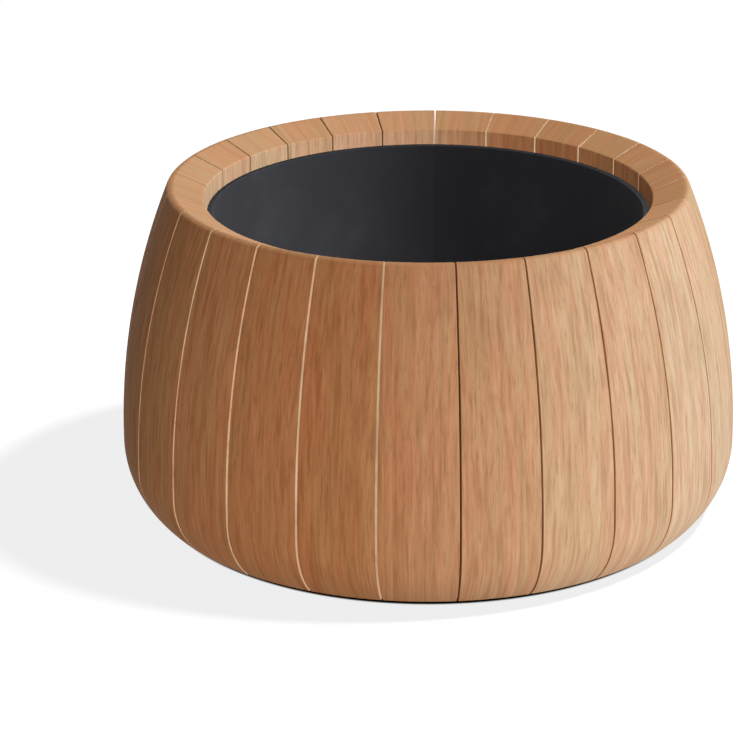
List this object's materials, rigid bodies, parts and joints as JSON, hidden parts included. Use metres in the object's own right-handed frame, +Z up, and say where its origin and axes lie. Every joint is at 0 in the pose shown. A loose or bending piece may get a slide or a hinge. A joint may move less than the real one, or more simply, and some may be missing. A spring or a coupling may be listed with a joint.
{
  "type": "teak planter",
  "caption": "Low round floor planter of curved teak staves with a sloping rim, standing just clear of the floor, with a black liner that lifts out.",
  "frame": {"origin": "on the floor, at the middle of the planter's footprint", "axes": "+Z up along the planter's axis; -Y is the front, where one stave is centred; +X to the right"},
  "size_m": [0.8, 0.8, 0.4235],
  "materials": {
    "teak": "oiled, straight grained",
    "black_paint": "satin powder coat",
    "black_plastic": "moulded",
    "liner_black": "satin, moulded",
    "steel": "stainless"
  },
  "bodies": {
    "shell": {"stave_01": "teak", "stave_02": "teak", "stave_03": "teak", "stave_04": "teak", "stave_05": "teak", "stave_06": "teak", "stave_07": "teak", "stave_08": "teak", "stave_09": "teak", "stave_10": "teak", "stave_11": "teak", "stave_12": "teak", "stave_13": "teak", "stave_14": "teak", "stave_15": "teak", "stave_16": "teak", "stave_17": "teak", "stave_18": "teak", "stave_19": "teak", "stave_20": "teak", "stave_21": "teak", "stave_22": "teak", "stave_23": "teak", "stave_24": "teak", "stave_25": "teak", "upper_hoop": "black_paint", "hoop_screws": "steel", "base_ring": "black_paint", "toe_screws": "steel", "foot_1": "black_plastic", "foot_2": "black_plastic", "foot_3": "black_plastic", "foot_4": "black_plastic", "foot_5": "black_plastic", "foot_screws": "steel"},
    "liner": {"liner": "liner_black"}
  },
  "joints": [
    {"name": "liner_lift", "type": "slide", "parent": "shell", "child": "liner", "axis": [0, 0, 1], "range_m": [0, 0.4]}
  ]
}
